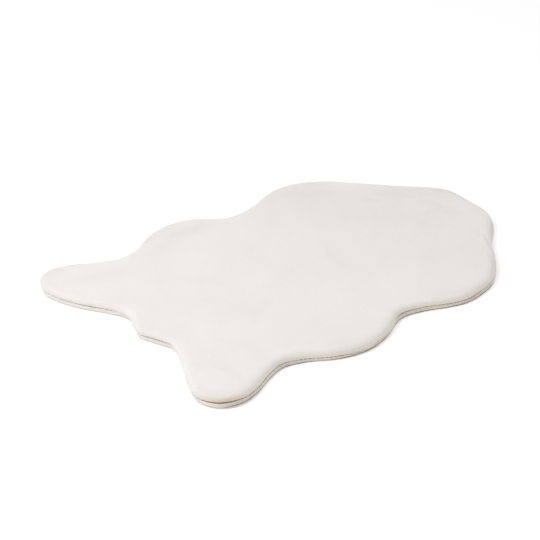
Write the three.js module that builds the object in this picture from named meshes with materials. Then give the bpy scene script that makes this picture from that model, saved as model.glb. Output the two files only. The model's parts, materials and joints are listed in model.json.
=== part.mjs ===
// A hide-shaped plush rug that lies flat: a panel of dense plush with its pile rolled over at the
// rim, a tape sewn on round its edge, and a thin backing cloth that rests on the floor.
// Millimetres, +Z up. +X runs from the tail to the nose, and the origin is under the middle.

import * as THREE from 'three';

// ---- driving dimensions ----------------------------------------------------------------------

const gap = 0.3;                  // up and down between pieces, so that no two faces touch
const slantGap = 0.36;            // level gap that leaves about as much across a slanted face

const backingThickness = 1.5;
const backingInset = 1;           // the backing is cut this much smaller than the taped edge

const tapeHeight = 7;
const tapeThickness = 2;
const tapeSwell = 0.4;            // how far the tape's face swells at mid height

const rugHeight = 23;             // floor to the crest of the rim
const pileOverhang = 1;           // how far the pile hangs out over the tape
const rimWidth = 20;              // plan width of the rolled rim
const rimFullness = 0.72;         // 1 rolls the rim as an ellipse, and less makes it fuller
const rimTurns = [0, 12, 30, 50, 70, 90];   // degrees up the rolled rim at which a section lies
const dishWidth = 6;              // from the crest of the rim in to the flat middle
const dishDepth = 0.6;            // how far the middle lies below the crest

// The pile is brushed over sideways, and it draws the upper edge of the tape along with it.
const pileLean = 5;
const pileLeanHeading = THREE.MathUtils.degToRad(141);
const leanRise = 9.2;             // height over which the lean builds up

const tapeBottom = backingThickness + gap;
const tapeTop = tapeBottom + tapeHeight;
const pileFoot = tapeBottom;
const pileLip = tapeTop + gap;
const footInset = tapeThickness + slantGap;

// Half of the pattern that the maker cuts, from the tail to the nose. The other half mirrors it.
const patternHalf = [
  { at: 'tail', along: -392, across: 0 },
  { at: 'tail side', along: -382, across: 32 },
  { at: 'hollow by the tail', along: -370, across: 72 },
  { at: 'hind leg, root', along: -382, across: 110 },
  { at: 'hind leg, back edge', along: -408, across: 160 },
  { at: 'hind leg, back edge', along: -434, across: 214 },
  { at: 'hind leg, tip', along: -443, across: 250 },
  { at: 'hind leg, tip', along: -427, across: 288 },
  { at: 'hind leg, outer side', along: -390, across: 302 },
  { at: 'hind leg, front edge', along: -345, across: 290 },
  { at: 'hind leg, front edge', along: -296, across: 264 },
  { at: 'rear waist', along: -250, across: 252 },
  { at: 'side lobe, back', along: -205, across: 264 },
  { at: 'side lobe, back', along: -157, across: 289 },
  { at: 'side lobe', along: -98, across: 302 },
  { at: 'side lobe, front', along: -42, across: 291 },
  { at: 'side lobe, front', along: 0, across: 268 },
  { at: 'front waist', along: 44, across: 253 },
  { at: 'front lobe, back', along: 92, across: 260 },
  { at: 'front lobe, back', along: 139, across: 279 },
  { at: 'front lobe', along: 184, across: 288 },
  { at: 'front lobe, front', along: 235, across: 276 },
  { at: 'shoulder', along: 284, across: 246 },
  { at: 'shoulder', along: 330, across: 198 },
  { at: 'shoulder', along: 376, across: 146 },
  { at: 'neck', along: 416, across: 106 },
  { at: 'nose corner', along: 445, across: 64 },
  { at: 'nose', along: 452, across: 0 },
];

// Where the made-up rug has stretched (out above 0) or drawn in, and how far that reaches.
const stretches = [
  { at: 'left hind leg, tip', along: -430, across: 275, out: -8, reach: 50 },
  { at: 'left hind leg, back edge', along: -412, across: 165, out: 4.5, reach: 50 },
  { at: 'right hind leg', along: -443, across: -250, out: 3, reach: 45 },
  { at: 'right hind leg, tip', along: -425, across: -295, out: 2.5, reach: 35 },
  { at: 'right hind leg, front', along: -375, across: -298, out: 1.6, reach: 35 },
  { at: 'right hind leg, front', along: -305, across: -268, out: 3, reach: 45 },
  { at: 'hollow, left', along: -372, across: 60, out: -3, reach: 35 },
  { at: 'rear waist, left', along: -205, across: 262, out: -4, reach: 45 },
  { at: 'right lobe, back', along: -135, across: -292, out: 1.8, reach: 35 },
  { at: 'right lobe, front', along: -68, across: -298, out: 2.2, reach: 35 },
  { at: 'front waist, right', along: -8, across: -275, out: 4, reach: 30 },
  { at: 'front waist, left', along: 8, across: 263, out: -8, reach: 40 },
  { at: 'left shoulder', along: 310, across: 220, out: -3, reach: 50 },
  { at: 'right shoulder, back', along: 262, across: -262, out: 4, reach: 32 },
  { at: 'right shoulder', along: 312, across: -215, out: 6, reach: 55 },
  { at: 'nose corner, right', along: 430, across: -90, out: 3, reach: 45 },
  { at: 'nose corner, left', along: 447, across: 50, out: 4, reach: 40 },
];

const pointsPerStation = 4;       // how finely the outline is faceted

// ---- outline ---------------------------------------------------------------------------------

// Outward unit normals of a closed outline that runs anticlockwise.
function outwardNormals(points) {
  const count = points.length;
  return points.map((_, i) => {
    const ahead = points[(i + 1) % count];
    const behind = points[(i + count - 1) % count];
    const run = ahead.clone().sub(behind).normalize();
    return new THREE.Vector2(run.y, -run.x);
  });
}

// The smooth closed curve through the pattern and its mirror image, anticlockwise from the nose.
function patternOutline() {
  const left = patternHalf.map((s) => new THREE.Vector3(s.along, s.across, 0)).reverse();
  const right = patternHalf.slice(1, -1).map((s) => new THREE.Vector3(s.along, -s.across, 0));
  const curve = new THREE.CatmullRomCurve3([...left, ...right], true, 'centripetal');
  const points = curve.getPoints(pointsPerStation * curve.points.length);
  points.pop();                   // the last point repeats the first
  return points.map((p) => new THREE.Vector2(p.x, p.y));
}

// Each stretch moves the outline along its normals, dying away with distance as a bell curve.
function stretched(points) {
  const normals = outwardNormals(points);
  return points.map((p, i) => {
    const out = stretches.reduce((sum, s) => {
      const distance = Math.hypot(p.x - s.along, p.y - s.across);
      return sum + s.out * Math.exp(-((distance / s.reach) ** 2));
    }, 0);
    return p.clone().addScaledVector(normals[i], out);
  });
}

// The share of the pile's lean that has built up at a height: 0 at the tape's foot, 1 above.
function leanShare(z) {
  return THREE.MathUtils.clamp((z - tapeBottom) / leanRise, 0, 1);
}

// One level section of the rug: the edge outline drawn in by inset, at height z, leaned over.
function section(edge, inset, z) {
  const shift = pileLean * leanShare(z);
  const dx = shift * Math.cos(pileLeanHeading);
  const dy = shift * Math.sin(pileLeanHeading);
  return edge.points.map((p, i) => {
    const n = edge.normals[i];
    return new THREE.Vector3(p.x - n.x * inset + dx, p.y - n.y * inset + dy, z);
  });
}

// ---- solids ----------------------------------------------------------------------------------

// A closed skin over sections that run anticlockwise and are listed so that outward lies to the
// right of the way up. A ring joins its last section to its first; otherwise flat caps close it.
function skin(sections, isRing) {
  const count = sections[0].length;
  const positions = sections.flat().flatMap((p) => [p.x, p.y, p.z]);
  const faces = [];
  const bands = isRing ? sections.length : sections.length - 1;
  for (let row = 0; row < bands; row += 1) {
    const low = row * count;
    const high = ((row + 1) % sections.length) * count;
    for (let i = 0; i < count; i += 1) {
      const next = (i + 1) % count;
      faces.push(low + i, low + next, high + next);
      faces.push(low + i, high + next, high + i);
    }
  }
  if (!isRing) {
    const top = (sections.length - 1) * count;
    for (const [a, b, c] of THREE.ShapeUtils.triangulateShape(sections[0], [])) {
      faces.push(a, c, b);
    }
    for (const [a, b, c] of THREE.ShapeUtils.triangulateShape(sections.at(-1), [])) {
      faces.push(top + a, top + b, top + c);
    }
  }
  const geometry = new THREE.BufferGeometry();
  geometry.setAttribute('position', new THREE.Float32BufferAttribute(positions, 3));
  geometry.setIndex(faces);
  geometry.computeVertexNormals();
  return geometry;
}

// The plush panel: a foot inside the tape, a shelf over the tape, the rolled rim as a quarter of
// a superellipse, and a shallow dish down to the flat middle.
function pilePanel(edge) {
  const rimHeight = rugHeight - pileLip;
  const rim = rimTurns.map((degrees) => {
    const turn = THREE.MathUtils.degToRad(degrees);
    const drawnIn = 1 - Math.max(Math.cos(turn), 0) ** rimFullness;
    const risen = Math.sin(turn) ** rimFullness;
    return section(edge, rimWidth * drawnIn - pileOverhang, pileLip + rimHeight * risen);
  });
  const middleInset = rimWidth + dishWidth - pileOverhang;
  return skin([
    section(edge, footInset, pileFoot),
    section(edge, footInset, pileLip),
    ...rim,
    section(edge, middleInset, rugHeight - dishDepth),
  ], false);
}

// The edge tape: a ring whose outer face swells a little at mid height.
function edgeBinding(edge) {
  const middle = (tapeBottom + tapeTop) / 2;
  return skin([
    section(edge, 0, tapeBottom),
    section(edge, -tapeSwell, middle),
    section(edge, 0, tapeTop),
    section(edge, tapeThickness, tapeTop),
    section(edge, tapeThickness, tapeBottom),
  ], true);
}

// The backing cloth: the same outline, a little smaller, flat on the floor.
function backingCloth(edge) {
  const outline = section(edge, backingInset, 0).map((p) => new THREE.Vector2(p.x, p.y));
  return new THREE.ExtrudeGeometry(new THREE.Shape(outline), {
    depth: backingThickness,
    bevelEnabled: false,
    curveSegments: 1,
  });
}

function cloth(name, geometry, color) {
  const material = new THREE.MeshStandardMaterial({ color, roughness: 0.95, metalness: 0 });
  const mesh = new THREE.Mesh(geometry, material);
  mesh.name = name;
  return mesh;
}

// ---- the rug ---------------------------------------------------------------------------------

const points = stretched(patternOutline());
const edge = { points, normals: outwardNormals(points) };

const rug = new THREE.Group();
rug.add(
  cloth('pile_panel', pilePanel(edge), 0xefebe6),
  cloth('edge_binding', edgeBinding(edge), 0xeae3da),
  cloth('backing_cloth', backingCloth(edge), 0xd8d0c5),
);

// The finished rug is centred over the origin.
const size = new THREE.Box3().setFromObject(rug);
rug.position.set(-(size.min.x + size.max.x) / 2, -(size.min.y + size.max.y) / 2, 0);

export default rug;
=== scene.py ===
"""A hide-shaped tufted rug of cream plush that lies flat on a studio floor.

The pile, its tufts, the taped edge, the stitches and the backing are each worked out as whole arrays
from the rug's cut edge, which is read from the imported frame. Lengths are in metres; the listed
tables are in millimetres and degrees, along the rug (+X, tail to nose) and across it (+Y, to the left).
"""

import json
import math

import bpy
import numpy as np
from mathutils import Matrix, Vector

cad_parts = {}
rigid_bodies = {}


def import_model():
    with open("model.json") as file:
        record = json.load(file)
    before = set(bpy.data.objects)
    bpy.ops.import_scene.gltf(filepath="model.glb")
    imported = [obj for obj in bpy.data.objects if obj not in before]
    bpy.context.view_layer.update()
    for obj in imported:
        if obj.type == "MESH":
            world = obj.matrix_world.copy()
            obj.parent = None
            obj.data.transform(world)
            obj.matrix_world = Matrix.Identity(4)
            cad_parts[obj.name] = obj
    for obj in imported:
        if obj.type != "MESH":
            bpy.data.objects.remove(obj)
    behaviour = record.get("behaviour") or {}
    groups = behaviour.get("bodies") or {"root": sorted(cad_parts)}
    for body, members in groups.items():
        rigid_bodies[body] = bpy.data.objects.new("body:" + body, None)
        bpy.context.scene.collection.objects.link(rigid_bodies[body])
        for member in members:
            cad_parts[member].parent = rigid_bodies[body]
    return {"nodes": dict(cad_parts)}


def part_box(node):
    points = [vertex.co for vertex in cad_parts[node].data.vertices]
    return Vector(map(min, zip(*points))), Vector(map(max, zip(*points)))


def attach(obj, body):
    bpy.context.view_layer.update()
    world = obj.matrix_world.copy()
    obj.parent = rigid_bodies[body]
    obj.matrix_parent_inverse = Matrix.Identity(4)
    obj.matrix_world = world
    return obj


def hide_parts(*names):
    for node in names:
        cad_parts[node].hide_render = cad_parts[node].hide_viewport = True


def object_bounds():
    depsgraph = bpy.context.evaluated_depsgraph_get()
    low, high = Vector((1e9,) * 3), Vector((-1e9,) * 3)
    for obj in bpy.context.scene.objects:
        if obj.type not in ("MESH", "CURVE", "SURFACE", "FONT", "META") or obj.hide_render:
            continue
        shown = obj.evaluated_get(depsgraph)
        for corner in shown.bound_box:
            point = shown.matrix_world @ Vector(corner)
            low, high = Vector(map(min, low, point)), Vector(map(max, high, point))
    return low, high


bl_info = {
    "name": "Hide-shaped tufted rug",
    "version": (1, 0, 0),
    "blender": (4, 5, 0),
    "location": "View3D > Sidebar > Rug",
    "description": "Makes a plush rug cut like a hide, with its pile, taped edge, stitches and backing",
    "category": "Add Mesh",
}

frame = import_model()
CAD_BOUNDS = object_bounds()

MM = 0.001
QUARTER = math.pi / 2
UP = np.array([0, 0, 1])

WHITE = [1, 1, 1, 1]
MIX_A, MIX_B, MIXED = 6, 7, 2        # the sockets of a Mix node that mixes colours
WAVE_LENGTH = 0.314                  # a Wave node of scale 1 repeats after about a tenth of pi

BACKING_LOW, BACKING_HIGH = (corner.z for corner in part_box("backing_cloth"))
TAPE_LOW, TAPE_HIGH = (corner.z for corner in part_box("edge_binding"))
PILE_LOW, PILE_HIGH = (corner.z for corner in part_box("pile_panel"))


def table(columns, *rows):
    """The rows, each with its values by column name. Columns that a row leaves out at its end are 0."""
    names = columns.split()
    return [dict(zip(names, row + (0,) * (len(names) - len(row)))) for row in rows]


# Soft swells and hollows of the pile's top: a bell curve each, long by wide, turned to its heading.
SWELLS = table(
    "at along across long wide heading rise",
    ("hollow, left lobe", -92, 245, 75, 17, -7, -2.2),
    ("hollow, front lobe", 210, 200, 80, 24, -39, -2.6),
    ("hollow, left shoulder", 315, 105, 100, 24, -39, -2.0),
    ("hollow inside the nose", 395, -30, 95, 22, 90, -2.0),
    ("swell by the nose", 310, -150, 70, 45, 40, 1.0),
    ("swell of the front", 215, 75, 80, 50, 20, 0.8),
    ("crease across the middle", 45, -60, 150, 20, -75, -0.5),
    ("swell, right lobe", -90, -210, 90, 50, 5, 0.7),
    ("swell, right hind leg", -385, -225, 60, 45, 65, 0.8),
    ("hollow over the tail", -330, -20, 70, 40, 90, -0.6),
    ("swell, left hind leg", -390, 225, 60, 35, -60, 0.6),
    ("fold from the pucker", 346, -172, 28, 4.5, 60, -6),
)

# Where the rolled rim differs from its usual form, in bell curves as above: out is how much further
# it hangs over the tape, lift how much higher its lip lies, rise how much higher its crest stands,
# bare how far the pile is parted there down to its roots, and thin how much the seam thread thins.
RIM_CHANGES = table(
    "at along across long wide heading out lift rise bare thin",
    ("right lobe, back", -175, -290, 60, 60, 0, 0.4, -2.6),
    ("right lobe, front", -88, -313, 45, 45, 0, 2.6, -3.4, 0.2),
    ("right waist", -10, -278, 34, 34, 0, 3.8, -3.4, 0.2),
    ("right hind leg, side", -345, -290, 90, 50, 0, 0.2, -1.8),
    ("nose lobe, front", 180, -285, 80, 50, 0, 0.3, -1.6),
    ("nose lobe, side", 315, -215, 75, 40, 48, 1.6, -3.8),
    ("bulge by the pucker", 350, -172, 24, 24, 0, 1.6, -1, 0.4),
    ("pucker", 376, -143, 16, 16, 0, 1.6, -1, -1, 0, 0.8),
    ("nose", 408, -112, 22, 22, 0, -0.2, -1.8, -0.2, 0, 0.5),
    ("tail", -380, -40, 30, 30, 0, -0.6, 0.8, 0.3),
    ("right hind leg, tip", -440, -258, 34, 34, 0, -1, -0.4, 0.3),
    ("parted pile there", -425, -293, 36, 36, 0, -1.2, 2.6, 0, 0.7),
    ("left hind leg, side", -412, 165, 40, 85, 0, -0.8),
    ("hollow by the tail", -367, 62, 24, 24, 0, 2.4, -3.4, 0.3),
    ("left shoulder", 300, 235, 60, 60, 0, 0.5, 0, 0.5),
)

# Painted shade on the flat pile: soft greyer patches, mostly in hollows inside the rims and over the
# shoulder, and each one's share of the shade colour.
PAINTED_SHADE_PLACES = table(
    "at along across long wide heading share",
    ("inside the left lobe's rim", -86, 252, 50, 18, -7, 0.5),
    ("inside the front lobe's rim", 221, 213, 75, 22, -39, 0.5),
    ("inside the left shoulder", 330, 112, 100, 22, -39, 0.35),
    ("over the whole shoulder", 232, 75, 150, 60, -39, 0.25),
    ("in the left hind leg", -350, 215, 75, 25, -18, 0.35),
    ("behind the left lobe", -180, 230, 55, 24, 10, 0.3),
)

# Where the whole rug curls up off the floor at its edge, and by how much.
CURLS = table(
    "at along across long wide heading rise",
    ("tip of the right hind leg", -398, -306, 62, 42, 0, 2.5),
)

# Square soft lamps: power in watts, where each stands from the rug's middle, and how far off.
LAMPS = table(
    "name power heading height distance",
    ("key", 17, 166, 52, 2500),
    ("top", 32, 88, 60, 6000),
    ("front", 5, -60, 75, 2500),
)


# ---- sizes and colours -------------------------------------------


def length(name, description, millimetres):
    """A size in metres, given here in millimetres."""
    return bpy.props.FloatProperty(
        name=name, description=description, default=millimetres * MM, unit="LENGTH", precision=5
    )


def angle(name, description, degrees):
    """An angle in radians, given here in degrees."""
    return bpy.props.FloatProperty(
        name=name, description=description, default=math.radians(degrees), subtype="ANGLE"
    )


def number(name, description, value):
    """A plain number."""
    return bpy.props.FloatProperty(name=name, description=description, default=value)


def linear(code):
    """An sRGB hex code as a linear colour with full alpha."""
    parts = [int(code[i : i + 2], 16) / 255 for i in (1, 3, 5)]
    return [p / 12.92 if p <= 0.04045 else ((p + 0.055) / 1.055) ** 2.4 for p in parts] + [1.0]


def colour(name, description, code):
    """A colour, given here as an sRGB hex code."""
    return bpy.props.FloatVectorProperty(
        name=name, description=description, default=linear(code), subtype="COLOR", size=4, min=0, max=1
    )


class RugCut(bpy.types.PropertyGroup):
    """How the rug's layers lie over each other at its cut edge."""

    backing_inset: length("Backing inset", "The backing is cut this much smaller than the taped edge", 1.0)
    backing_shows: length("Backing shows", "The made-up backing reaches out this much past its cut", 0.9)
    backing_threads: length("Backing threads", "Distance from each thread of its weave to the next", 1.2)
    # The open heading also sets where painted shade falls on the pile's lip, the tape and the threads: the
    # side away from the key and top lamps.
    open_heading: angle("Open heading", "Where the edge faces where its lower seam shows most", -90.0)
    lean: length("Lean", "How far the pile's brushing has drawn the rug's upper part sideways", 5.0)
    lean_heading: angle("Lean heading", "Where the pile is brushed to, from +X", 141.0)
    lean_rise: length("Lean rise", "Height above the tape's foot over which the lean builds up", 9.2)


class PileSizes(bpy.types.PropertyGroup):
    """The plush pile: its rolled rim, its flat middle and its tufts."""

    rim_width: length("Rim width", "Plan width of the rolled rim, from its outermost point to crest", 20.0)
    fullness: number("Fullness", "How square the rim's profile is: 1 is an ellipse, and less is fuller", 0.72)
    overhang: length("Overhang", "How far the pile hangs out over the tape", 1.0)
    tuck: length("Tuck", "Height of the rounded lip under the pile's outermost point", 1.7)
    seam_gap: length("Seam gap", "Height of the pile's lip over the top of the tape", 0.3)
    foot_inset: length("Foot inset", "How far inside the cut edge the pile's foot stands", 2.36)
    dish_width: length("Dish width", "From the rim's crest in to the flat middle", 6.0)
    dish_depth: length("Dish depth", "How far the middle lies below the crest", 0.1)
    clump_size: length("Clump size", "Width of the clumps that the pile falls into", 9.0)
    clump_relief: length("Clump relief", "How far clumps stand above the hollows between them", 0.25)
    # Real tufts of fibre stand less than a millimetre apart. These are coarser, so that they show.
    tuft_spacing: length("Tuft spacing", "Distance from each tuft to the next", 1.9)
    tuft_length: length("Tuft length", "Length of a tuft above the ground of the pile", 1.8)
    tuft_width: length("Tuft width", "Width of a tuft at its root", 1.8)
    tuft_lean: angle("Tuft lean", "How far the tufts lean over from upright", 68.0)


class TapeSizes(bpy.types.PropertyGroup):
    """The tape sewn on round the edge."""

    thickness: length("Thickness", "From the tape's outer face to its inner face", 2.0)
    swell: length("Swell", "How far the tape's outer face swells at mid height", 0.4)
    threads: length("Threads", "Distance from each thread of the tape's weave to the next", 1.6)
    waves: length("Waves", "How unevenly the tape's upper edge runs", 0.25)
    spread: length("Spread", "How far the tape's lower edge is pressed out where it spreads most", 2.2)
    spread_heading: angle("Spread heading", "Which way the edge faces where the tape spreads most", 180.0)


class StitchSizes(bpy.types.PropertyGroup):
    """The overlock thread over the tape and the stitches in the seam.

    Real sewing thread is about half as thick. It is drawn thicker, so that the stitches show.
    """

    overlock_pitch: length("Overlock pitch", "Length of one overlock loop along the edge", 11.0)
    overlock_thread: length("Overlock thread", "Diameter of the overlock thread", 1.0)
    seam_stitch: length("Seam stitch", "Length of one stitch in the seam, with the gap after it", 8.0)
    seam_share: number("Seam share", "Share of its length that a seam stitch covers", 1.0)
    seam_thread: length("Seam thread", "Diameter of the seam thread", 1.2)
    seam_drop: length("Seam drop", "The lowest that the seam follows the pile's lip down", 2.4)


class RugColours(bpy.types.PropertyGroup):
    """Colours of the rug's cloths and threads, and of the floor."""

    pile_tips: colour("Pile tips", "The plush where its fibre tips catch the light", "#f6f4f4")
    pile_hollows: colour("Pile hollows", "The plush in the hollows between clumps", "#f1eeec")
    # Painted shade: the greyer plush colour of the painted pile shade patches.
    pile_shade_tint: colour("Pile sides", "The plush where its fibres show their sides, not their tips", "#e6e4e1")
    pile_roots: colour("Pile roots", "The ground of the pile", "#e6d5b8")
    tape: colour("Tape", "The woven edge tape", "#fcfaf8")
    tape_gaps: colour("Tape gaps", "The gaps between the tape's threads", "#f6f1ec")
    # Painted shade: the colour that the tape and the overlock thread turn to on the open side, away from the
    # key and top lamps.
    tape_painted_shade: colour("Worn tape", "The tape where it has rubbed and darkened", "#a8967f")
    overlock: colour("Overlock thread", "The thread over the tape", "#f9f6f1")
    seam: colour("Seam thread", "The thread in the seam", "#cf985c")
    seam_shade: colour("Seam shade", "The shaded side of the seam thread's plies", "#9c774a")
    # Painted shade: the greyer colour that the seam threads turn to on the open side, away from the key and
    # top lamps.
    seam_painted_shade: colour("Worn seam", "The seam thread where it has greyed", "#96806a")
    backing: colour("Backing", "The backing cloth", "#f5efe7")
    backing_gaps: colour("Backing gaps", "The gaps between the backing's threads", "#ddd1c3")
    floor: colour("Floor", "The studio floor", "#f4f3f3")


class StageSettings(bpy.types.PropertyGroup):
    """The camera and the light."""

    azimuth: angle("Azimuth", "Which way the camera looks: 0 along +Y, turning anticlockwise", -39.0)
    elevation: angle("Elevation", "How far the camera looks down", 29.0)
    distance: length("Distance", "From the camera to the point on the floor that it looks at", 5079.0)
    look_along: length("Look at, along", "Where the camera looks, along the rug", -37.8)
    look_across: length("Look at, across", "Where the camera looks, across the rug", 53.7)
    lens: bpy.props.FloatProperty(
        name="Lens", description="Focal length on a sensor 36 mm wide", default=171.26, unit="CAMERA"
    )
    sky: number("Sky", "Strength of the even light from all round", 0.662)
    lamp_spread: number("Lamp spread", "Side of a lamp's square face, as a share of its distance", 0.33)
    floor_half: length("Floor half", "Half of the side of the square floor", 8000.0)
    floor_lift: number("Floor lift", "How much the floor is lifted to white where it is looked at", 0.21)


for lamp in LAMPS:
    of_lamp = lamp["name"].capitalize() + " lamp "
    StageSettings.__annotations__.update({
        lamp["name"] + "_power": number(of_lamp + "power", "Power in watts", lamp["power"]),
        lamp["name"] + "_heading": angle(of_lamp + "heading", "Where it stands, from +X", lamp["heading"]),
        lamp["name"] + "_height": angle(of_lamp + "height", "How high it stands", lamp["height"]),
        lamp["name"] + "_distance": length(of_lamp + "distance", "From the middle", lamp["distance"]),
    })


# ---- the cut edge ------------------------------------------------


def read_edge(spans=32):
    """The cut edge as a dense closed curve: stations, points and outward normals.

    The lowest ring of the backing cloth's node is sorted by angle round the rug's middle. A uniform
    cubic B-spline passes through it once the ring's Fourier terms are divided by the B-spline's own
    response, (4 + 2 cos) / 6. The curve is then moved out by the backing's inset, and a point's
    station is its share of the way round.
    """
    node = frame["nodes"]["backing_cloth"]
    corners = np.empty(len(node.data.vertices) * 3, np.float32)
    node.data.vertices.foreach_get("co", corners)
    corners = corners.reshape(-1, 3).astype(float)
    low = corners[corners[:, 2] < (BACKING_LOW + BACKING_HIGH) / 2, :2]
    ring = np.unique(np.round(low, 6), axis=0) @ np.array([1, 1j])
    ring = ring[np.argsort(np.angle(ring))]

    turns = 2 * np.pi * np.arange(len(ring)) / len(ring)
    control = np.fft.ifft(np.fft.fft(ring) * 6 / (4 + 2 * np.cos(turns)))[:, None]
    u = np.linspace(0, 1, spans, endpoint=False)
    before, here, after, beyond = (np.roll(control, -k, axis=0) for k in (-1, 0, 1, 2))
    curve = (
        (1 - u) ** 3 * before + (3 * u**3 - 6 * u**2 + 4) * here
        + (-3 * u**3 + 3 * u**2 + 3 * u + 1) * after + u**3 * beyond
    ).ravel() / 6
    slope = (
        -((1 - u) ** 2) * before + (3 * u**2 - 4 * u) * here
        + (-3 * u**2 + 2 * u + 1) * after + u**2 * beyond
    ).ravel()
    normal = -1j * slope / np.abs(slope)
    curve = curve + normal * bpy.context.scene.rug_cut.backing_inset
    steps = np.abs(np.roll(curve, -1) - curve)
    way = np.concatenate([[0.0], np.cumsum(steps)])
    return dict(station=way[:-1] / way[-1], point=curve, normal=normal, length=way[-1])


EDGE = {}


def edge_at(station):
    """The edge's points and outward normals at these stations, as complex numbers."""
    turn = np.mod(station, 1.0)
    point = np.interp(turn, EDGE["station"], EDGE["point"], period=1.0)
    normal = np.interp(turn, EDGE["station"], EDGE["normal"], period=1.0)
    return point, normal / np.abs(normal)


def section(station, inset, z):
    """Points of the level section at height z: the edge drawn in by inset, and leaned over.

    The lean grows evenly from nothing at the tape's foot to its full size at the lean's rise.
    """
    cut = bpy.context.scene.rug_cut
    station, inset, z = np.broadcast_arrays(station, inset, z)
    point, normal = edge_at(station)
    share = np.clip((z - TAPE_LOW) / cut.lean_rise, 0, 1)
    place = point - normal * inset + share * cut.lean * np.exp(1j * cut.lean_heading)
    return np.stack([place.real, place.imag, z], axis=-1)


def facing_share(normal, heading):
    """How squarely the edge faces this heading: the cosine between the two, and 0 past a quarter."""
    return np.clip((normal * np.exp(-1j * heading)).real, 0, 1)


def openness(normal):
    """How far the edge is rolled open, from 0 to 1."""
    return facing_share(normal, bpy.context.scene.rug_cut.open_heading)


def open_edge_shade(normal):
    """How much painted shade the edge takes where it is open, from 0 to 1: the cube of its openness. The open
    side faces away from the key and top lamps; the same share also sinks the overlock thread.
    """
    return openness(normal) ** 3


def plan(points):
    """Where points lie in plan, as complex numbers."""
    return points[..., 0] + 1j * points[..., 1]


def bell_sum(place, rows, column):
    """The rows' values in a column, each times its bell curve at this place in plan.

    The bell is exp(-(u² + v²)), with u and v the distances from the row's place, along and across
    its heading, over its long and its wide size.
    """
    total = np.zeros(np.shape(place))
    for row in rows:
        away = place / MM - (row["along"] + 1j * row["across"])
        away = away * np.exp(-1j * math.radians(row["heading"]))
        total += row[column] * np.exp(-((away.real / row["long"]) ** 2) - (away.imag / row["wide"]) ** 2)
    return total


def curled(points):
    """The points raised where the rug curls up off the floor."""
    return points + MM * bell_sum(plan(points), CURLS, "rise")[..., None] * UP


def ease(share):
    """A share from 0 to 1 with soft ends: 3 f² - 2 f³, with f held between 0 and 1."""
    share = np.clip(share, 0, 1)
    return share * share * (3 - 2 * share)


def soft_noise(place, size, seed):
    """Smooth noise from -1 to 1: random heights on a square lattice of this size, eased between."""
    cells = 211
    heights = np.random.default_rng(seed).uniform(-1, 1, (cells, cells))
    u, v = place.real / size, place.imag / size
    i, j = np.floor(u).astype(int), np.floor(v).astype(int)
    f, g = ease(u - i), ease(v - j)
    i, j = i % cells, j % cells
    near = heights[i, j] * (1 - f) + heights[(i + 1) % cells, j] * f
    far = heights[i, (j + 1) % cells] * (1 - f) + heights[(i + 1) % cells, (j + 1) % cells] * f
    return near * (1 - g) + far * g


# ---- making meshes -----------------------------------------------


def new_piece(name, points, faces, material):
    """A mesh object at the origin from points (count, 3) and a list of face arrays (count, corners)."""
    corners = np.concatenate([f.ravel() for f in faces]).astype(np.int32)
    sizes = np.concatenate([np.full(len(f), f.shape[1]) for f in faces])
    starts = np.concatenate([[0], np.cumsum(sizes)[:-1]]).astype(np.int32)
    mesh = bpy.data.meshes.new(name)
    mesh.vertices.add(len(points))
    mesh.vertices.foreach_set("co", np.ascontiguousarray(points, np.float32).ravel())
    mesh.loops.add(len(corners))
    mesh.loops.foreach_set("vertex_index", corners)
    mesh.polygons.add(len(sizes))
    mesh.polygons.foreach_set("loop_start", starts)
    mesh.update(calc_edges=True)
    mesh.validate()
    mesh.shade_smooth()
    mesh.materials.append(material)
    piece = bpy.data.objects.new(name, mesh)
    bpy.context.scene.collection.objects.link(piece)
    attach(piece, "root")
    return piece


def give_values(piece, name, values):
    """Stores one number for each point of the piece, for its material to read."""
    made = piece.data.attributes.new(name, "FLOAT", "POINT")
    made.data.foreach_set("value", np.ascontiguousarray(values, np.float32).ravel())


def give_map(piece, name, u, v):
    """Gives the piece's points a flat map of this name."""
    mesh = piece.data
    corners = np.empty(len(mesh.loops), np.int32)
    mesh.loops.foreach_get("vertex_index", corners)
    places = np.stack([np.ravel(u), np.ravel(v)], axis=-1)
    layer = mesh.uv_layers.new(name=name)
    layer.data.foreach_set("uv", np.ascontiguousarray(places[corners], np.float32).ravel())


def give_plan_map(piece, points):
    """A map by place in plan, with a little room round it."""
    low, high = (np.array(corner[:2]) for corner in CAD_BOUNDS)
    share = 0.01 + 0.98 * (points[:, :2] - low) / (high - low)
    give_map(piece, "OFBake", share[:, 0], share[:, 1])


def ring_faces(rows, count, wrap):
    """Four-cornered faces between rows of count points that each close on themselves.

    With wrap the last row joins the first. Outward lies to the right of the way from row to row.
    """
    row, i = np.meshgrid(np.arange(rows if wrap else rows - 1), np.arange(count), indexing="ij")
    low, high = row * count, (row + 1) % rows * count
    after = (i + 1) % count
    return np.stack([low + i, low + after, high + after, high + i], axis=-1).reshape(-1, 4)


def closed_skin(rows):
    """Points and faces of a closed skin over rows (rows, count, 3), its ends drawn to one point each.

    The faces are listed from the first row's end to the last's, so from the foot of a piece to its top.
    """
    count = rows.shape[1]
    points = np.concatenate([rows.reshape(-1, 3), rows[:1].mean(axis=1), rows[-1:].mean(axis=1)])
    i = np.arange(count)
    after = (i + 1) % count
    last = (len(rows) - 1) * count
    foot = np.stack([np.full(count, len(points) - 2), after, i], axis=-1)
    head = np.stack([np.full(count, len(points) - 1), last + i, last + after], axis=-1)
    return points, [foot, ring_faces(len(rows), count, False), head]


def unit(vectors):
    """The vectors made one long."""
    return vectors / np.maximum(np.linalg.norm(vectors, axis=-1, keepdims=True), 1e-12)


# ---- materials ---------------------------------------------------


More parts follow.
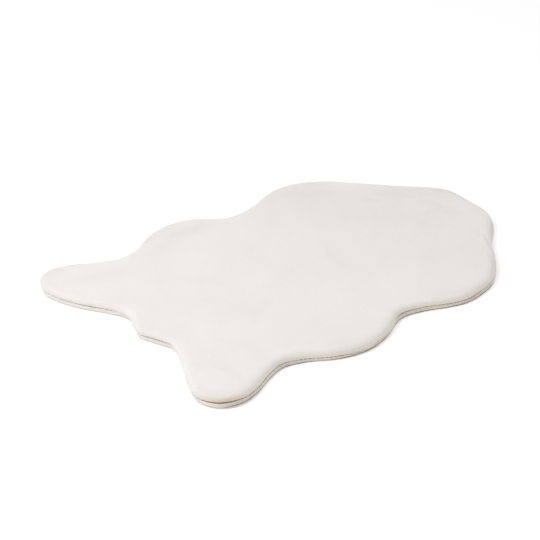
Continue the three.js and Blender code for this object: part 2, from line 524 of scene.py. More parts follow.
def add(tree, kind, inputs=None, **settings):
    """Adds a node with its settings and inputs; an input that is another node's output is linked."""
    node = tree.nodes.new("ShaderNode" + kind)
    for key, value in settings.items():
        setattr(node, key, value)
    for key, value in (inputs or {}).items():
        if isinstance(value, bpy.types.NodeSocket):
            tree.links.new(value, node.inputs[key])
        else:
            node.inputs[key].default_value = value
    return node


def new_material(name):
    """An empty node material and its tree."""
    material = bpy.data.materials.new(name)
    material.use_nodes = True
    material.node_tree.nodes.clear()
    return material, material.node_tree


def plush_material(colours):
    """Sheared and brushed polyester faux-fur plush.

    Fine crimped fibres scatter the light, so it is quite matt, a little paler where tips stand
    proud, warmer and darker towards the roots, and softly mottled where the pile lies another way.
    It also turns greyer with painted shade where the painted pile shade attribute is set.
    """
    material, tree = new_material("Plush_polyester_brushed")
    place = add(tree, "TexCoord").outputs["Object"]
    patches = add(tree, "TexNoise", {"Vector": place, "Scale": 1 / (110 * MM)})
    clumps = add(tree, "TexNoise", {
        "Vector": place, "Scale": 1 / (7 * MM), "Detail": 3.0, "Roughness": 0.6,
    })
    mottle = add(tree, "MapRange", {
        "Value": clumps.outputs["Fac"], "From Min": 0.3, "From Max": 0.7, "To Max": 0.55,
    })
    broad = add(tree, "MapRange", {
        "Value": patches.outputs["Fac"], "From Min": 0.35, "From Max": 0.65, "To Max": 0.18,
    })
    both = add(tree, "Math", {0: mottle.outputs["Result"], 1: broad.outputs["Result"]}, operation="ADD")
    top = add(tree, "Mix", {
        "Factor": both.outputs[0], MIX_A: colours.pile_tips, MIX_B: colours.pile_hollows,
    }, data_type="RGBA")
    # Painted shade: where the painted pile shade attribute is set, the colour turns greyer.
    sides = add(tree, "Attribute", attribute_name="side_share")
    upper = add(tree, "Mix", {
        "Factor": sides.outputs["Fac"], MIX_A: top.outputs[MIXED], MIX_B: colours.pile_shade_tint,
    }, data_type="RGBA")
    tips = add(tree, "Attribute", attribute_name="tip_share")
    tint = add(tree, "Mix", {
        "Factor": tips.outputs["Fac"], MIX_A: colours.pile_roots, MIX_B: upper.outputs[MIXED],
    }, data_type="RGBA")
    rough = add(tree, "MapRange", {"Value": clumps.outputs["Fac"], "To Min": 0.86, "To Max": 1.0})
    # Fibre tips lie about 0.5 mm apart. They are drawn three times as coarse, so that they show.
    fibres = add(tree, "TexNoise", {"Vector": place, "Scale": 1 / (1.6 * MM)})
    bump = add(tree, "Bump", {"Height": fibres.outputs["Fac"], "Strength": 0.25, "Distance": 0.6 * MM})
    shader = add(tree, "BsdfPrincipled", {
        "Base Color": tint.outputs[MIXED], "Roughness": rough.outputs["Result"],
        "Normal": bump.outputs["Normal"], "Specular IOR Level": 0.15,
        "Sheen Weight": 0.03, "Sheen Roughness": 0.6,
    })
    add(tree, "OutputMaterial", {"Surface": shader.outputs[0]})
    return material


def woven_material(name, pale, darker, in_painted_shade, spacing, depth):
    """Plain-woven cloth on the piece's own map, in metres: threads cross at the given spacing.

    Two waves at right angles make the weave's crowns and gaps, and the gaps hold a darker tint, so
    it is matt with a fine grain. Real threads lie about 0.5 mm apart, and the spacings given are two
    to three times as coarse, so that they show. Where the piece's painted-shade attribute is above 0,
    the cloth turns in soft blotches to the colour given for painted shade.
    """
    material, tree = new_material(name)
    run = add(tree, "UVMap", uv_map="cloth_run").outputs["UV"]
    wave = {"Vector": run, "Scale": WAVE_LENGTH / spacing, "Distortion": 0.4}
    across = add(tree, "TexWave", wave, bands_direction="X", wave_profile="SIN")
    along = add(tree, "TexWave", wave, bands_direction="Y", wave_profile="SIN")
    weave = add(tree, "Math", {0: across.outputs["Fac"], 1: along.outputs["Fac"]}, operation="MULTIPLY")
    fuzz = add(tree, "TexNoise", {"Vector": run, "Scale": 1 / (4 * MM), "Detail": 3.0})
    height = add(tree, "Math", {0: weave.outputs[0], 1: fuzz.outputs["Fac"]}, operation="ADD")
    share = add(tree, "MapRange", {"Value": height.outputs[0], "From Min": 0.2, "From Max": 1.3})
    unshaded = add(tree, "Mix", {
        "Factor": share.outputs["Result"], MIX_A: darker, MIX_B: pale,
    }, data_type="RGBA")
    wear = add(tree, "Attribute", attribute_name="wear")
    blotch = add(tree, "MapRange", {
        "Value": fuzz.outputs["Fac"], "From Min": 0.3, "From Max": 0.6, "To Min": 0.5, "To Max": 1.0,
    })
    blotched_shade = add(tree, "Math", {0: wear.outputs["Fac"], 1: blotch.outputs["Result"]}, operation="MULTIPLY")
    tint = add(tree, "Mix", {
        "Factor": blotched_shade.outputs[0], MIX_A: unshaded.outputs[MIXED], MIX_B: in_painted_shade,
    }, data_type="RGBA")
    bump = add(tree, "Bump", {"Height": height.outputs[0], "Strength": 0.4, "Distance": depth})
    shader = add(tree, "BsdfPrincipled", {
        "Base Color": tint.outputs[MIXED], "Roughness": 0.9, "Normal": bump.outputs["Normal"],
        "Specular IOR Level": 0.2, "Sheen Weight": 0.3,
    })
    add(tree, "OutputMaterial", {"Surface": shader.outputs[0]})
    return material


def thread_material(name, pale, darker, in_painted_shade):
    """Spun polyester sewing thread: its plies turn round it as a fine slanted ridge, softly shiny.

    Real plies repeat about every 0.5 mm, and are drawn nearly twice as coarse, so that they show.
    Where the piece's painted-shade attribute is above 0, the thread turns to the colour given for painted
    shade.
    """
    material, tree = new_material(name)
    run = add(tree, "UVMap", uv_map="cloth_run").outputs["UV"]
    plies = {"Vector": run, "Scale": WAVE_LENGTH / (0.9 * MM), "Distortion": 0.3}
    twist = add(tree, "TexWave", plies, bands_direction="DIAGONAL", wave_profile="SIN")
    unshaded = add(tree, "Mix", {
        "Factor": twist.outputs["Fac"], MIX_A: darker, MIX_B: pale,
    }, data_type="RGBA")
    wear = add(tree, "Attribute", attribute_name="wear")
    tint = add(tree, "Mix", {
        "Factor": wear.outputs["Fac"], MIX_A: unshaded.outputs[MIXED], MIX_B: in_painted_shade,
    }, data_type="RGBA")
    bump = add(tree, "Bump", {"Height": twist.outputs["Fac"], "Strength": 0.5, "Distance": 0.2 * MM})
    shader = add(tree, "BsdfPrincipled", {
        "Base Color": tint.outputs[MIXED], "Roughness": 0.7, "Normal": bump.outputs["Normal"],
        "Specular IOR Level": 0.3,
    })
    add(tree, "OutputMaterial", {"Surface": shader.outputs[0]})
    return material


def seen_directly(tree):
    """1 for a ray from the camera, a mirror or glass, and 0 for light that falls on the rug."""
    path = add(tree, "LightPath").outputs
    seen = add(tree, "Math", {0: path["Is Camera Ray"], 1: path["Is Glossy Ray"]}, operation="MAXIMUM")
    seen = add(tree, "Math", {0: seen.outputs[0], 1: path["Is Transmission Ray"]}, operation="MAXIMUM")
    return seen.outputs[0]


def floor_material(colours, floor_lift):
    """Seamless matt studio paper: lit as it is, and lifted to white only where it is looked at."""
    material, tree = new_material("Paper_seamless_white")
    place = add(tree, "TexCoord").outputs["Object"]
    grain = add(tree, "TexNoise", {"Vector": place, "Scale": 1 / (20 * MM)})
    bump = add(tree, "Bump", {"Height": grain.outputs["Fac"], "Strength": 0.02, "Distance": 0.5 * MM})
    paper = add(tree, "BsdfDiffuse", {"Color": colours.floor, "Normal": bump.outputs["Normal"]})
    lift = add(tree, "Math", {0: seen_directly(tree), 1: floor_lift}, operation="MULTIPLY")
    glow = add(tree, "Emission", {"Color": WHITE, "Strength": lift.outputs[0]})
    both = add(tree, "AddShader", {0: paper.outputs[0], 1: glow.outputs[0]})
    add(tree, "OutputMaterial", {"Surface": both.outputs[0]})
    return material


# ---- the pile ----------------------------------------------------


def nap(way):
    """How long the pile stands, as a share of its full length.

    It stands at 0.3 in the seam and under the lip, and eases to 1 by the time the rim nears its crest.
    """
    return 0.3 + 0.7 * ease((way - 0.9) / 0.9)


def fibre_tone(station, way):
    """How far tips hide roots in the pile's colour: least at an open lip, and where the pile is parted.

    Near the lip the roots' colour is painted shade. The share rises from 0.95 at a closed lip, or 0.33 at an
    open one, to 1 half way up the rim, so the painted shade is deepest at an open lip.
    """
    edge, normal = edge_at(station)
    shaded_lip_tone = 0.95 - 0.62 * open_edge_shade(normal)
    bare = bell_sum(edge, RIM_CHANGES, "bare")
    return (shaded_lip_tone + (1 - shaded_lip_tone) * ease((way - 0.6) / 0.9)) * (1 - bare * ease((1.6 - way) / 0.5))


def side_share(points):
    """How much painted shade the pile takes at these points, from 0 to 1."""
    return np.clip(bell_sum(plan(points), PAINTED_SHADE_PLACES, "share"), 0, 1)


def pile_point(station, way, depth=0.0):
    """A point of the pile's surface, or of the ground at this depth under it.

    The way up runs from 0 at the seam, out to 1 at the rim's outermost point, up to 2 at its crest,
    in to 3 at the end of the shallow dish, and to 4 at the rug's middle. The lip is a quarter of an
    ellipse, and the rim a quarter of a superellipse, whose cosine and sine are raised to the
    fullness. From 3 to 4 the ring at the end of the dish shrinks evenly to one point. Soft noise
    moves the lip by up to half a millimetre, and the top by less.
    """
    pile = bpy.context.scene.rug_pile
    station, way = np.broadcast_arrays(station, way)
    edge, _ = edge_at(station)
    out = bell_sum(edge, RIM_CHANGES, "out") + 0.5 * soft_noise(edge, 21 * MM, seed=11)
    lift = bell_sum(edge, RIM_CHANGES, "lift") + 0.35 * soft_noise(edge, 17 * MM, seed=12)
    out, lift = pile.overhang + MM * out, MM * lift

    waist = TAPE_HIGH + pile.seam_gap + lift + pile.tuck
    under = np.clip(1 - way, 0, 1) * QUARTER
    over = np.clip(way - 1, 0, 1) * QUARTER
    drawn_in = 1 - np.cos(over) ** pile.fullness
    risen = np.sin(over) ** pile.fullness
    dish = np.clip(way - 2, 0, 1)
    sunk = ease(dish)
    depth = depth * nap(way)
    rise = MM * bell_sum(edge, RIM_CHANGES, "rise") * (1 - sunk)
    inset = (
        (pile.foot_inset + out) * (1 - np.cos(under)) - out
        + (pile.rim_width - pile.overhang + out) * drawn_in
        + pile.dish_width * dish
        + depth * np.cos(under + over)
    )
    z = (
        waist - pile.tuck * np.sin(under) + (PILE_HIGH + rise - waist) * risen
        - pile.dish_depth * sunk - depth * (np.sin(over) - np.sin(under))
    )
    points = section(station, inset, z)
    shrink = np.clip(way - 3, 0, 1)
    points[..., :2] *= (1 - shrink)[..., None]
    height = bell_sum(plan(points), SWELLS, "rise") + 0.15 * soft_noise(plan(points), 55 * MM, seed=14)
    points[..., 2] += np.clip(way - 1, 0, 1) * height * MM
    return curled(points)


def tuft_depth():
    """How far the pile's ground lies under its surface: 0.7 of the height to which a leaning tuft stands."""
    pile = bpy.context.scene.rug_pile
    return pile.tuft_length * math.cos(pile.tuft_lean) * 0.7


class RUG_OT_make_pile(bpy.types.Operator):
    """Makes the ground of the plush pile as one closed sheet"""

    bl_idname = "rug.make_pile"
    bl_label = "Pile"

    def execute(self, context):
        pile = context.scene.rug_pile
        depth = tuft_depth()
        count = 864
        station = np.arange(count) / count
        # Rings round the lip, up the rim (closer together low down), over the dish and on inwards.
        ways = np.concatenate([
            np.linspace(0, 1, 5, endpoint=False),
            1 + np.linspace(0, 1, 20, endpoint=False) ** 1.3,
            np.linspace(2, 3, 3, endpoint=False),
            3 + np.linspace(0, 1, 52, endpoint=False),
        ])
        upper = pile_point(station[None, :], ways[:, None], depth)
        # The foot's wall stands inside the tape, and two more rings keep the underside flat.
        foot = section(station[None, :], pile.foot_inset, np.array([[PILE_LOW], [TAPE_HIGH * 0.6]]))
        floor = foot[:1] * np.array([[[0.3]], [[0.8]]])
        floor[..., 2] = PILE_LOW
        points, faces = closed_skin(np.concatenate([curled(floor), curled(foot), upper]))
        piece = new_piece("pile", points, faces, plush_material(context.scene.rug_colours))
        # The ground is tinted a little towards the roots' colour, and its underside mostly; near the lip that
        # tint is also painted shade.
        on_top, beneath = 0.85, 0.2
        tone = on_top * fibre_tone(station[None, :], ways[:, None])
        hidden = np.full(4 * count, beneath)
        give_values(piece, "tip_share", np.concatenate([hidden, tone.ravel(), [beneath, on_top]]))
        # Painted shade in patches on the pile's top.
        sides = side_share(upper)
        give_values(piece, "side_share", np.concatenate([np.zeros_like(hidden), sides.ravel(), [0, 0]]))
        give_plan_map(piece, points)
        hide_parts("pile_panel")
        return {"FINISHED"}


def lay_of_pile(points, normals, seed):
    """The way the pile lies at these points, along the surface.

    It is the brushing's heading, turned a little by soft noise, and on a slope also one and a half
    times the way downhill, so that the pile falls outwards over the whole rim.
    """
    cut = bpy.context.scene.rug_cut
    turn = cut.lean_heading + 0.3 * soft_noise(plan(points), 60 * MM, seed=seed)
    turn = turn + 0.2 * soft_noise(plan(points), 9 * MM, seed=seed + 1)
    pull = np.stack([np.cos(turn), np.sin(turn), 0 * turn], axis=-1) - 1.5 * UP
    return unit(pull - (pull * normals).sum(axis=-1, keepdims=True) * normals)


def tufts(station, way, seed):
    """Points, faces, tip shares, painted shade shares and shading normals of one leaning tuft at each place.

    A tuft is a slim closed wedge of four points: two root corners side by side, one behind them and
    the tip, which leans over the way the pile lies. Its root stands a little deeper than the ground,
    and its length, width, lean and sway differ at random. It shades mostly as the pile's surface does.
    """
    pile = bpy.context.scene.rug_pile
    draw = np.random.default_rng(seed)
    depth = tuft_depth()
    root = pile_point(station, way, depth + 0.2 * MM)
    clump = soft_noise(plan(root), pile.clump_size, seed=13)
    step = 0.4 * MM / EDGE["length"]
    around = pile_point(station + step, way, depth) - pile_point(station - step, way, depth)
    upward = pile_point(station, way + 0.004, depth) - pile_point(station, way - 0.004, depth)
    normal = unit(np.cross(around, upward))
    lay = lay_of_pile(root, normal, seed=21)
    side = np.cross(lay, normal)
    count = len(root)

    size = draw.uniform(0.85, 1.15, (count, 1)) + (pile.clump_relief / pile.tuft_length * clump)[:, None]
    size = size * nap(way)[:, None]
    lean = pile.tuft_lean + draw.normal(0, 0.12, (count, 1))
    sway = draw.normal(0, 0.16, (count, 1))
    axis = unit(np.cos(lean) * normal + np.sin(lean) * (lay + sway * side))
    half = pile.tuft_width / 2 * draw.uniform(0.8, 1.2, (count, 1)) * (0.5 + 0.5 * nap(way))[:, None]
    tip = root + axis * pile.tuft_length * size
    left, right, back = root + half * side, root - half * side, root - 0.9 * half * lay
    points = np.stack([left, right, back, tip], axis=1).reshape(-1, 3)
    faces = np.array([[2, 0, 3], [1, 2, 3], [0, 1, 3], [0, 2, 1]])
    faces = (np.arange(count)[:, None, None] * 4 + faces).reshape(-1, 3)
    own = np.stack([side, -side, -lay, axis * 0], axis=1)
    shading = unit(normal[:, None, :] + 0.15 * own).reshape(-1, 3)
    # Painted shade: near an open lip, which faces away from the key and top lamps, tufts take more of the
    # roots' colour, in patches and tuft by tuft.
    patch = np.clip(soft_noise(plan(root), 5.5 * MM, seed=17), 0, 1)
    lip_shade_share = open_edge_shade(edge_at(station)[1])
    painted_shade_factor = 1 - lip_shade_share * (draw.uniform(0, 0.3, count) + 0.6 * patch) * ease((1.7 - way) / 0.6)
    shares = ((fibre_tone(station, way) * painted_shade_factor)[:, None] * np.array([0.8, 0.8, 0.8, 1.0])).ravel()
    # Painted shade in patches, the same for each tuft's four points.
    sides = np.repeat(side_share(root), 4)
    return points, faces, shares, sides, shading


def tuft_piece(name, station, way, seed):
    """One piece of many tufts, which goes with the pile."""
    points, faces, shares, sides, shading = tufts(station, way, seed)
    piece = new_piece(name, points, [faces], bpy.data.objects["pile"].data.materials[0])
    give_values(piece, "tip_share", shares)
    give_values(piece, "side_share", sides)
    give_plan_map(piece, points)
    piece.data.normals_split_custom_set_from_vertices(shading)
    return piece


def places_on_top():
    """Stations and ways of tufts on the flat middle.

    They stand on a hexagonal lattice in plan, each moved a little at random. A point's angle gives
    its station, and its distance from the middle over the ring's there gives its way.
    """
    pile = bpy.context.scene.rug_pile
    draw = np.random.default_rng(31)
    high = CAD_BOUNDS[1]
    x = np.arange(-high[0], high[0], pile.tuft_spacing)
    y = np.arange(-high[1], high[1], pile.tuft_spacing * math.sqrt(0.75))
    x, y = np.meshgrid(x, y)
    x[1::2] += pile.tuft_spacing / 2
    x = x + draw.uniform(-0.3, 0.3, x.shape) * pile.tuft_spacing
    y = y + draw.uniform(-0.3, 0.3, y.shape) * pile.tuft_spacing
    place = (x + 1j * y).ravel()

    station = np.linspace(0, 1, 4000, endpoint=False)
    ring = plan(pile_point(station, 3.0))
    order = np.argsort(np.angle(ring))
    turns = np.angle(ring)[order]
    # Stations are unrolled along the sorted angles, so that they never jump from 1 back to 0.
    rolled = np.unwrap(station[order], period=1.0)
    found = np.interp(np.angle(place), turns, rolled)
    reach = np.interp(np.angle(place), turns, np.abs(ring)[order])
    way = 4 - np.abs(place) / reach
    kept = (way > 3.0) & (way < 3.998)
    return place[kept], np.mod(found[kept], 1.0), way[kept]


class RUG_OT_make_top_tufts(bpy.types.Operator):
    """Makes the tufts of the pile's flat middle, in four pieces from the tail to the nose"""

    bl_idname = "rug.make_top_tufts"
    bl_label = "Top tufts"

    def execute(self, context):
        place, station, way = places_on_top()
        shares = np.quantile(place.real, [0, 0.25, 0.5, 0.75, 1])
        shares[-1] += MM
        parts = ["tail", "waist", "lobes", "nose"]
        for k, part in enumerate(parts):
            here = (place.real >= shares[k]) & (place.real < shares[k + 1])
            tuft_piece("tufts_" + part, station[here], way[here], seed=41 + k)
        return {"FINISHED"}


class RUG_OT_make_rim_tufts(bpy.types.Operator):
    """Makes the tufts of the pile's rolled rim, from its lip to the end of its dish"""

    bl_idname = "rug.make_rim_tufts"
    bl_label = "Rim tufts"

    def execute(self, context):
        pile = context.scene.rug_pile
        draw = np.random.default_rng(51)
        columns = round(EDGE["length"] / pile.tuft_spacing)
        # The tail's profile gives the ways at which a tape measure up the rim reads even steps.
        ways = np.linspace(0.1, 3, 600)
        steps = np.linalg.norm(np.diff(pile_point(0.0, ways), axis=0), axis=-1)
        measure = np.concatenate([[0], np.cumsum(steps)])
        rows = round(measure[-1] / (pile.tuft_spacing * math.sqrt(0.75)))
        i, j = np.meshgrid(np.arange(columns), np.arange(rows))
        station = (i + 0.5 * (j % 2) + draw.uniform(-0.3, 0.3, i.shape)) / columns
        run = (j + 0.5 + draw.uniform(-0.3, 0.3, i.shape)) / rows * measure[-1]
        way = np.interp(run, measure, ways)
        tuft_piece("tufts_rim", np.mod(station, 1.0).ravel(), way.ravel(), seed=52)
        return {"FINISHED"}


# ---- the tape, its stitches and the backing ----------------------


def tape_spread(normal):
    """How far the tape's lower edge is pressed out."""
    tape = bpy.context.scene.rug_tape
    return tape.spread * facing_share(normal, tape.spread_heading)


def tape_point(station, turn, proud=0.0):
    """A point of the tape's surface, and the way its skin faces there.

    The tape's profile is a rounded oblong: a superellipse whose cosine and sine are raised to the
    squareness, or to 2 less the squareness for the way it faces. Turn 0 faces out and a quarter turn
    faces up. Proud moves the point out from the skin.
    """
    squareness = 0.4
    tape = bpy.context.scene.rug_tape
    station, turn = np.broadcast_arrays(station, turn)
    c, s = np.cos(turn), np.sin(turn)
    half = tape.thickness / 2 + tape.swell * np.clip(c, 0, 1) ** 2
    tall = (TAPE_HIGH - TAPE_LOW) / 2
    facing_out = np.sign(c) * np.abs(c) ** (2 - squareness) / half
    facing_up = np.sign(s) * np.abs(s) ** (2 - squareness) / tall
    size = np.hypot(facing_out, facing_up)
    facing_out, facing_up = facing_out / size, facing_up / size
    inset = tape.thickness / 2 - half * np.sign(c) * np.abs(c) ** squareness - proud * facing_out
    z = (TAPE_HIGH + TAPE_LOW) / 2 + tall * np.sign(s) * np.abs(s) ** squareness + proud * facing_up
    edge, normal = edge_at(station)
    inset = inset - tape_spread(normal) * (TAPE_HIGH - z) / (TAPE_HIGH - TAPE_LOW)
    z = z + tape.waves * soft_noise(edge, 30 * MM, seed=61) * np.clip(s, 0, 1)
    facing = np.stack([normal.real * facing_out, normal.imag * facing_out, facing_up], axis=-1)
    return curled(section(station, inset, z)), facing


class RUG_OT_make_tape(bpy.types.Operator):
    """Makes the tape round the edge"""

    bl_idname = "rug.make_tape"
    bl_label = "Edge tape"

    def execute(self, context):
        count, rows = 1380, 20
        station, turn = np.meshgrid(np.arange(count) / count, np.arange(rows) / rows * 2 * np.pi)
        points, _ = tape_point(station, turn)
        colours = context.scene.rug_colours
        cloth = woven_material(
            "Tape_woven_polyester", colours.tape, colours.tape_gaps, colours.tape_painted_shade,
            context.scene.rug_tape.threads, 0.3 * MM,
        )
        piece = new_piece("tape", points.reshape(-1, 3), [ring_faces(rows, count, True)], cloth)
        # Painted shade: the tape darkens towards its shade colour on the open side, away from the key and top
        # lamps.
        give_values(piece, "wear", 0.45 * open_edge_shade(edge_at(station)[1]))
        give_map(piece, "cloth_run", station * EDGE["length"], points[..., 2])
        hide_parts("edge_binding")
        return {"FINISHED"}


def tube(name, path, facing, radius, in_painted_shade, closed, material, sides=7):
    """Round threads along paths (threads, steps, 3), in one piece.

    Each ring stands square to its path, started from the facing given there. A closed path joins
    its end to its start, and an open one ends in flat caps.
    """
    threads, steps = path.shape[:2]
    if closed:
        ahead = np.roll(path, -1, axis=1) - np.roll(path, 1, axis=1)
    else:
        ahead = np.gradient(path, axis=1)
    ahead = unit(ahead)
    first = unit(facing - (facing * ahead).sum(axis=-1, keepdims=True) * ahead)
    second = np.cross(ahead, first)
    angle_round = np.arange(sides) / sides * 2 * np.pi
    cosines, sines = np.cos(angle_round)[:, None], np.sin(angle_round)[:, None]
    ring = cosines * first[..., None, :] + sines * second[..., None, :]
    points = path[..., None, :] + ring * np.broadcast_to(radius, path.shape[:2])[..., None, None]

    starts = np.arange(threads)[:, None, None] * steps * sides
    faces = [(starts + ring_faces(steps, sides, closed)).reshape(-1, 4)]
    if not closed:
        caps = np.stack([np.arange(sides)[::-1], (steps - 1) * sides + np.arange(sides)])
        faces.append((starts + caps).reshape(-1, sides))
    piece = new_piece(name, points.reshape(-1, 3), faces, material)
    run = np.linalg.norm(np.diff(path, axis=1, prepend=path[:, :1]), axis=-1).cumsum(axis=1)
    around = angle_round * np.mean(radius)
    give_map(piece, "cloth_run", *np.broadcast_arrays(run[..., None], around))
    # The painted shade share of each point, for the thread's material.
    give_values(piece, "wear", np.repeat(np.broadcast_to(in_painted_shade, path.shape[:2]).ravel(), sides))
    return piece


class RUG_OT_make_overlock(bpy.types.Operator):
    """Makes the overlock thread that loops over the tape's upper edge"""

    bl_idname = "rug.make_overlock"
    bl_label = "Overlock thread"

    def execute(self, context):
        stitch = context.scene.rug_stitches
        loops = round(EDGE["length"] / stitch.overlock_pitch)
        steps = 14
        along = np.arange(loops * steps) / steps
        phase = 2 * np.pi * along
        uneven = 0.12 * soft_noise(along, 1.0, seed=71)
        # The thread swings about 50 degrees each way, from the tape's face to over its upper edge.
        swing = np.radians(34) + np.radians(50) * (np.sin(phase) + 0.12 * np.sin(3 * phase)) * (1 + uneven)
        station = (along + 0.12 * np.sin(2 * phase)) / loops
        # Where the edge is open the thread has sunk into the tape, and its colour takes painted shade.
        in_painted_shade = open_edge_shade(edge_at(station)[1])
        radius = stitch.overlock_thread / 2 * (1 - 0.6 * in_painted_shade)
        path, facing = tape_point(station, swing, 0.6 * radius)
        colours = context.scene.rug_colours
        thread = thread_material(
            "Thread_overlock_polyester", colours.overlock, colours.tape, colours.tape_painted_shade
        )
        tube("overlock_thread", path[None], facing[None], radius, 0.6 * in_painted_shade, True, thread)
        return {"FINISHED"}


def stitch_row(seed):
    """Stations along each stitch of a seam, its arch from 0 at its ends to 1, and its size.

    The arch is the square root of half a sine wave. Each stitch's start, reach and size differ a
    little at random.
    """
    stitch = bpy.context.scene.rug_stitches
    draw = np.random.default_rng(seed)
    count = round(EDGE["length"] / stitch.seam_stitch)
    part = np.linspace(0, 1, 9)
    cover = stitch.seam_share * draw.uniform(0.9, 1.1, (count, 1))
    station = (np.arange(count)[:, None] + draw.uniform(-0.08, 0.08, (count, 1)) + cover * part) / count
    arch = np.sin(np.pi * part) ** 0.5
    return station, arch, draw.uniform(0.75, 1.25, (count, 1))


class RUG_OT_make_seam_stitches(bpy.types.Operator):
    """Makes the stitches in the seam between pile and tape, and those along the tape's lower edge"""

    bl_idname = "rug.make_seam_stitches"
    bl_label = "Seam stitches"

    def execute(self, context):
        stitch = context.scene.rug_stitches
        colours = context.scene.rug_colours
        thread = thread_material("Thread_seam_polyester", colours.seam, colours.seam_shade, colours.seam_painted_shade)

        # A stitch comes up out of the seam, lies along it and dives back in: it stands 1.2 mm inside
        # the cut edge at its ends and 0.3 mm at its middle. Where the pile's lip hangs low it follows
        # the lip down and out, and where the edge is open its thread is thicker.
        station, arch, size = stitch_row(seed=81)
        edge, normal = edge_at(station)
        lift = np.maximum(MM * bell_sum(edge, RIM_CHANGES, "lift"), -stitch.seam_drop)
        inset = (1.2 - 0.9 * arch) * MM + 0.35 * np.minimum(lift, 0)
        path = curled(section(station, inset, TAPE_HIGH + 0.25 * MM + 0.9 * lift))
        upward = np.broadcast_to(UP, path.shape)
        radius = stitch.seam_thread / 2 * (0.8 + 0.2 * arch) * size * (0.7 + 0.6 * openness(normal))
        radius = radius * (1 - bell_sum(edge, RIM_CHANGES, "thin"))
        # Painted shade: on the open side the seam thread turns greyer.
        tube("seam_thread", path, upward, radius, open_edge_shade(normal), False, thread)

        # The lower row lies hidden under the tape, 1.5 mm inside its edge, and comes out up to 0.6 mm
        # past it where the edge is open.
        station, arch, size = stitch_row(seed=82)
        edge, normal = edge_at(station)
        shown = ease(3 * openness(normal) - 2)
        inset = 1.5 * MM - tape_spread(normal) - (1.5 + 0.6 * arch) * MM * shown
        path = curled(section(station, inset, TAPE_LOW + (0.1 - 0.2 * shown) * MM))
        radius = stitch.seam_thread / 2 * (0.65 + 0.2 * arch) * size * (0.5 + 0.5 * shown)
        # Painted shade: on the open side the lower seam thread turns greyer.
        tube("lower_seam_thread", path, upward, radius, open_edge_shade(normal), False, thread)
        return {"FINISHED"}


class RUG_OT_make_backing(bpy.types.Operator):
    bl_idname = "rug.make_backing"
    bl_label = "Backing"

    def execute(self, context):
        cut = context.scene.rug_cut
        count = 720
        station = np.arange(count)[None, :] / count
        # From the middle of the underside, out round the soft edge, to the middle of the upper side.
        shares = np.array([0.25, 0.6, 0.9, 1, 1, 1, 1, 0.9, 0.6, 0.25])[:, None]
        soft = np.array([0, 0, 0, 0.3, 0, 0, 0.3, 0, 0, 0])[:, None] * MM
        _, normal = edge_at(station)
        edge_in = cut.backing_inset - cut.backing_shows - tape_spread(normal) + soft
        rise = np.array([0, 0, 0, 0, 0.2, 0.8, 1, 1, 1, 1])[:, None]
        z = BACKING_LOW + rise * (BACKING_HIGH - BACKING_LOW)
        rows = section(station, edge_in, z)
        rows[..., :2] *= shares[..., None]
        points, faces = closed_skin(curled(rows))
        colours = context.scene.rug_colours
        cloth = woven_material(
            "Backing_cloth_cotton", colours.backing, colours.backing_gaps, colours.backing_gaps,
            cut.backing_threads, 0.2 * MM,
        )
        piece = new_piece("backing", points, faces, cloth)
        give_map(piece, "cloth_run", points[:, 0], points[:, 1])
        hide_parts("backing_cloth")
        return {"FINISHED"}


class RUG_OT_declare_cloth(bpy.types.Operator):
    bl_idname = "rug.declare_cloth"
    bl_label = "Declare the cloth"

    def execute(self, context):
        objects = context.scene.objects
        point = EDGE["point"]
        area = 0.5 * abs((point.conj() * np.roll(point, -1)).imag.sum())
        with_pile = [o for o in objects if o.name.startswith("tufts_")]
        edging = ("tape", "overlock_thread", "seam_thread", "lower_seam_thread")
        with_pile += [objects[name] for name in edging]
        return {"FINISHED"}


# ---- the stage ---------------------------------------------------


def stand_off(thing, look_at, heading, height, distance):
    """Stands a lamp or camera off from a point, at this heading and height, facing the point."""
    level = math.cos(height)
    away = Vector((level * math.cos(heading), level * math.sin(heading), math.sin(height)))
    facing = away.to_track_quat("Z", "Y").to_matrix().to_4x4()
    thing.matrix_world = Matrix.Translation(look_at + away * distance) @ facing
    bpy.context.scene.collection.objects.link(thing)


def place_lamp(name):
    """A square soft lamp that faces the rug's middle."""
    stage = bpy.context.scene.rug_stage
    power, heading, height, distance = (
        getattr(stage, name + value) for value in ("_power", "_heading", "_height", "_distance")
    )
    light = bpy.data.lights.new(name, "AREA")
    light.energy = power
    light.size = distance * stage.lamp_spread
    stand_off(bpy.data.objects.new(name, light), Vector((0, 0, 0)), heading, height, distance)


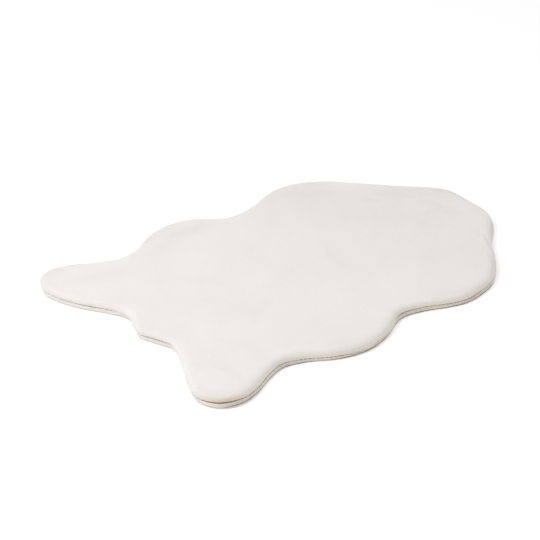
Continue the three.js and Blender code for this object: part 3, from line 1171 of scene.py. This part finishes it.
class RUG_OT_make_stage(bpy.types.Operator):
    """Makes the floor, the light and the camera"""

    bl_idname = "rug.make_stage"
    bl_label = "Stage"

    def execute(self, context):
        scene = context.scene
        stage = scene.rug_stage
        scene.view_settings.view_transform = "Standard"

        half = stage.floor_half
        mesh = bpy.data.meshes.new("floor")
        corners = [[-half, -half, 0], [half, -half, 0], [half, half, 0], [-half, half, 0]]
        mesh.from_pydata(corners, [], [[0, 1, 2, 3]])
        mesh.materials.append(floor_material(scene.rug_colours, stage.floor_lift))
        floor = bpy.data.objects.new("floor", mesh)
        scene.collection.objects.link(floor)

        scene.world = bpy.data.worlds.new("Studio")
        scene.world.use_nodes = True
        tree = scene.world.node_tree
        tree.nodes.clear()
        level = add(tree, "MapRange", {"Value": seen_directly(tree), "To Min": stage.sky, "To Max": 1.0})
        sky = add(tree, "Background", {"Color": WHITE, "Strength": level.outputs["Result"]})
        add(tree, "OutputWorld", {"Surface": sky.outputs[0]})

        for lamp in LAMPS:
            place_lamp(lamp["name"])

        lens = bpy.data.cameras.new("camera")
        lens.sensor_width = 36.0
        lens.lens = stage.lens
        lens.clip_end = 100.0
        scene.camera = bpy.data.objects.new("camera", lens)
        look_at = Vector((stage.look_along, stage.look_across, 0))
        stand_off(scene.camera, look_at, stage.azimuth - QUARTER, stage.elevation, stage.distance)
        return {"FINISHED"}


class RUG_PT_panel(bpy.types.Panel):
    """Lists the rug's operators in the order in which they are used"""

    bl_idname = "RUG_PT_panel"
    bl_label = "Tufted rug"
    bl_space_type = "VIEW_3D"
    bl_region_type = "UI"
    bl_category = "Rug"

    def draw(self, context):
        for operator in OPERATORS:
            self.layout.operator(operator.bl_idname)


OPERATORS = [
    RUG_OT_make_stage,
    RUG_OT_make_backing,
    RUG_OT_make_tape,
    RUG_OT_make_overlock,
    RUG_OT_make_seam_stitches,
    RUG_OT_make_pile,
    RUG_OT_make_top_tufts,
    RUG_OT_make_rim_tufts,
    RUG_OT_declare_cloth,
]

SETTINGS = {
    "rug_cut": RugCut,
    "rug_pile": PileSizes,
    "rug_tape": TapeSizes,
    "rug_stitches": StitchSizes,
    "rug_colours": RugColours,
    "rug_stage": StageSettings,
}

CLASSES = [*SETTINGS.values(), *OPERATORS, RUG_PT_panel]


def register():
    """Registers the classes and gives each scene its settings."""
    for made in CLASSES:
        bpy.utils.register_class(made)
    for name, group in SETTINGS.items():
        setattr(bpy.types.Scene, name, bpy.props.PointerProperty(type=group))


def unregister():
    """Takes the settings and the classes away again."""
    for name in SETTINGS:
        delattr(bpy.types.Scene, name)
    for made in reversed(CLASSES):
        bpy.utils.unregister_class(made)


def main():
    """Makes the rug and its stage."""
    register()
    EDGE.update(read_edge())
    for operator in OPERATORS:
        group, call = operator.bl_idname.split(".")
        getattr(getattr(bpy.ops, group), call)()


if __name__ == "__main__":
    main()
